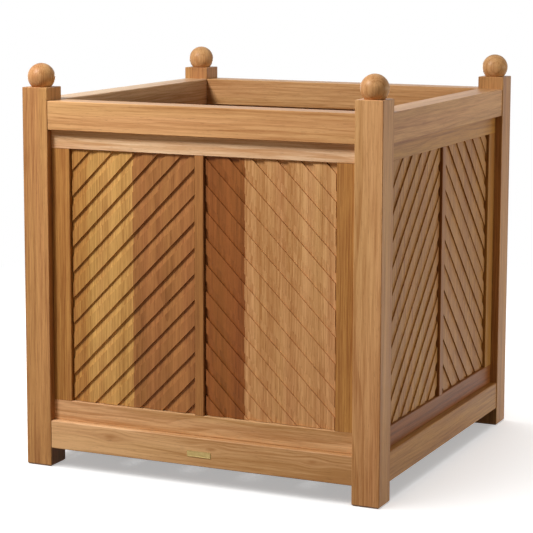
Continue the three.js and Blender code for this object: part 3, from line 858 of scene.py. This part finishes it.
# %% Floor
FLOOR_REACH = 12.0  # metres
FLOOR_COLOUR, BOUNCE_COLOUR = "#F2F2F2", "#605038"
FLOOR_GLOW = 0.40
FLOOR_FADE = (0.9, 1.9)  # metres from the planter's middle


def seen_by_camera(tree):
    """One where the camera looks, straight or in a reflection, and nought where light is gathered."""
    ray = add_node(tree, "ShaderNodeLightPath").outputs
    return calculate(tree, "MAXIMUM", ray["Is Camera Ray"], ray["Is Glossy Ray"])


def white_floor():
    material = bpy.data.materials.new("white_floor")
    material.use_nodes = True
    tree = material.node_tree
    tree.nodes.clear()
    seen = seen_by_camera(tree)
    colour = mix_colours(tree, seen, linear(BOUNCE_COLOUR), linear(FLOOR_COLOUR))
    paint = add_node(tree, "ShaderNodeBsdfDiffuse", {"Color": colour})
    glow = add_node(tree, "ShaderNodeEmission", {"Strength": calculate(tree, "MULTIPLY", seen, FLOOR_GLOW)})
    both = add_node(tree, "ShaderNodeAddShader", {0: paint.outputs[0], 1: glow.outputs[0]})

    # Far from the planter the floor turns into plain white, so no horizon shows against the sky.
    place = add_node(tree, "ShaderNodeTexCoord").outputs["Object"]
    fade = calculate(tree, "MULTIPLY", ramp(tree, length_of(tree, place), *FLOOR_FADE), seen)
    plain = add_node(tree, "ShaderNodeEmission", {"Strength": 1.0})
    mixed = add_node(tree, "ShaderNodeMixShader", {0: fade, 1: both.outputs[0], 2: plain.outputs[0]})
    add_node(tree, "ShaderNodeOutputMaterial", {0: mixed.outputs[0]})
    return material


def make_floor():
    mesh = bpy.data.meshes.new("studio_floor")
    corners = [(x * FLOOR_REACH, y * FLOOR_REACH, 0) for x, y in ((-1, -1), (1, -1), (1, 1), (-1, 1))]
    mesh.from_pydata(corners, [], [(0, 1, 2, 3)])
    mesh.materials.append(white_floor())
    floor = add_object("studio_floor", mesh)
    floor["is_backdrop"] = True
    return floor


floor = make_floor()
print("floor reaches", floor.dimensions.x, "m")

# %% Lamps and sky
HORIZON_STRENGTH, ZENITH_STRENGTH = 0.03, 0.30
HORIZON_COLOUR = "#FFD9B0"


def area_lamp(name, place, aim, size, watts, colour="#FFFFFF"):
    """A rectangular lamp at a place, turned to face a point."""
    data = bpy.data.lights.new(name, "AREA")
    data.shape, data.size, data.size_y = "RECTANGLE", size[0], size[1]
    data.energy, data.color = watts, linear(colour)[:3]
    lamp = add_object(name, data)
    lamp.location = place
    lamp.rotation_mode = "QUATERNION"
    lamp.rotation_quaternion = (Vector(aim) - Vector(place)).to_track_quat("-Z", "Y")
    return lamp


key = area_lamp("key_lamp", (-0.97, -1.5, 1.975), (0, -0.3, 0.3), (0.56, 0.56), 61)
side_panel = area_lamp("side_panel", (2.0, 0.6, 0.62), (0.3, 0.0, 0.45), (1.4, 0.14), 14.6, "#FFF6DE")
front_fill = area_lamp("front_fill", (-0.3, -3.2, 0.35), (0, -0.3, 0.3), (1.0, 0.6), 10, "#FFDDB8")
back_fill = area_lamp("back_fill", (-1.3, 2.2, 0.42), (0, 0, 0.3), (1.6, 0.3), 17)
floor_lamp = area_lamp("floor_lamp", (-0.9, -0.4, 3.2), (0.1, 0.1, 0), (4.4, 4.4), 185)
planter_lamps = [key, side_panel, front_fill, back_fill]

# The floor lamp lights the floor alone, and the others leave the floor out.
only_floor = bpy.data.collections.new("only_floor")
only_floor.objects.link(floor)
all_but_floor = bpy.data.collections.new("all_but_floor")
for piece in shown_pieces():
    all_but_floor.objects.link(piece)
floor_lamp.light_linking.receiver_collection = only_floor
for lamp in planter_lamps:
    lamp.light_linking.receiver_collection = all_but_floor

world = bpy.data.worlds.new("white_sky")
bpy.context.scene.world = world
world.use_nodes = True
sky = world.node_tree
background = sky.nodes["Background"]
seen = seen_by_camera(sky)
# The light itself comes mostly from overhead: dim and warm at the horizon, brighter towards the zenith.
direction = add_node(sky, "ShaderNodeTexCoord").outputs["Generated"]
upward = add_node(sky, "ShaderNodeSeparateXYZ", {0: direction}).outputs["Z"]
overhead = ramp(sky, upward, 0.0, 1.0, HORIZON_STRENGTH, ZENITH_STRENGTH, smooth=False)
strength = add_node(sky, "ShaderNodeMix", {"Factor": seen, 2: overhead, 3: 1.0})
warmth = mix_colours(sky, upward, linear(HORIZON_COLOUR), WHITE)
sky.links.new(mix_colours(sky, seen, warmth, WHITE), background.inputs["Color"])
sky.links.new(strength.outputs[0], background.inputs["Strength"])
bpy.context.scene.view_settings.view_transform = "Standard"
print("lamps:", [(lamp.name, lamp.data.energy) for lamp in planter_lamps + [floor_lamp]])
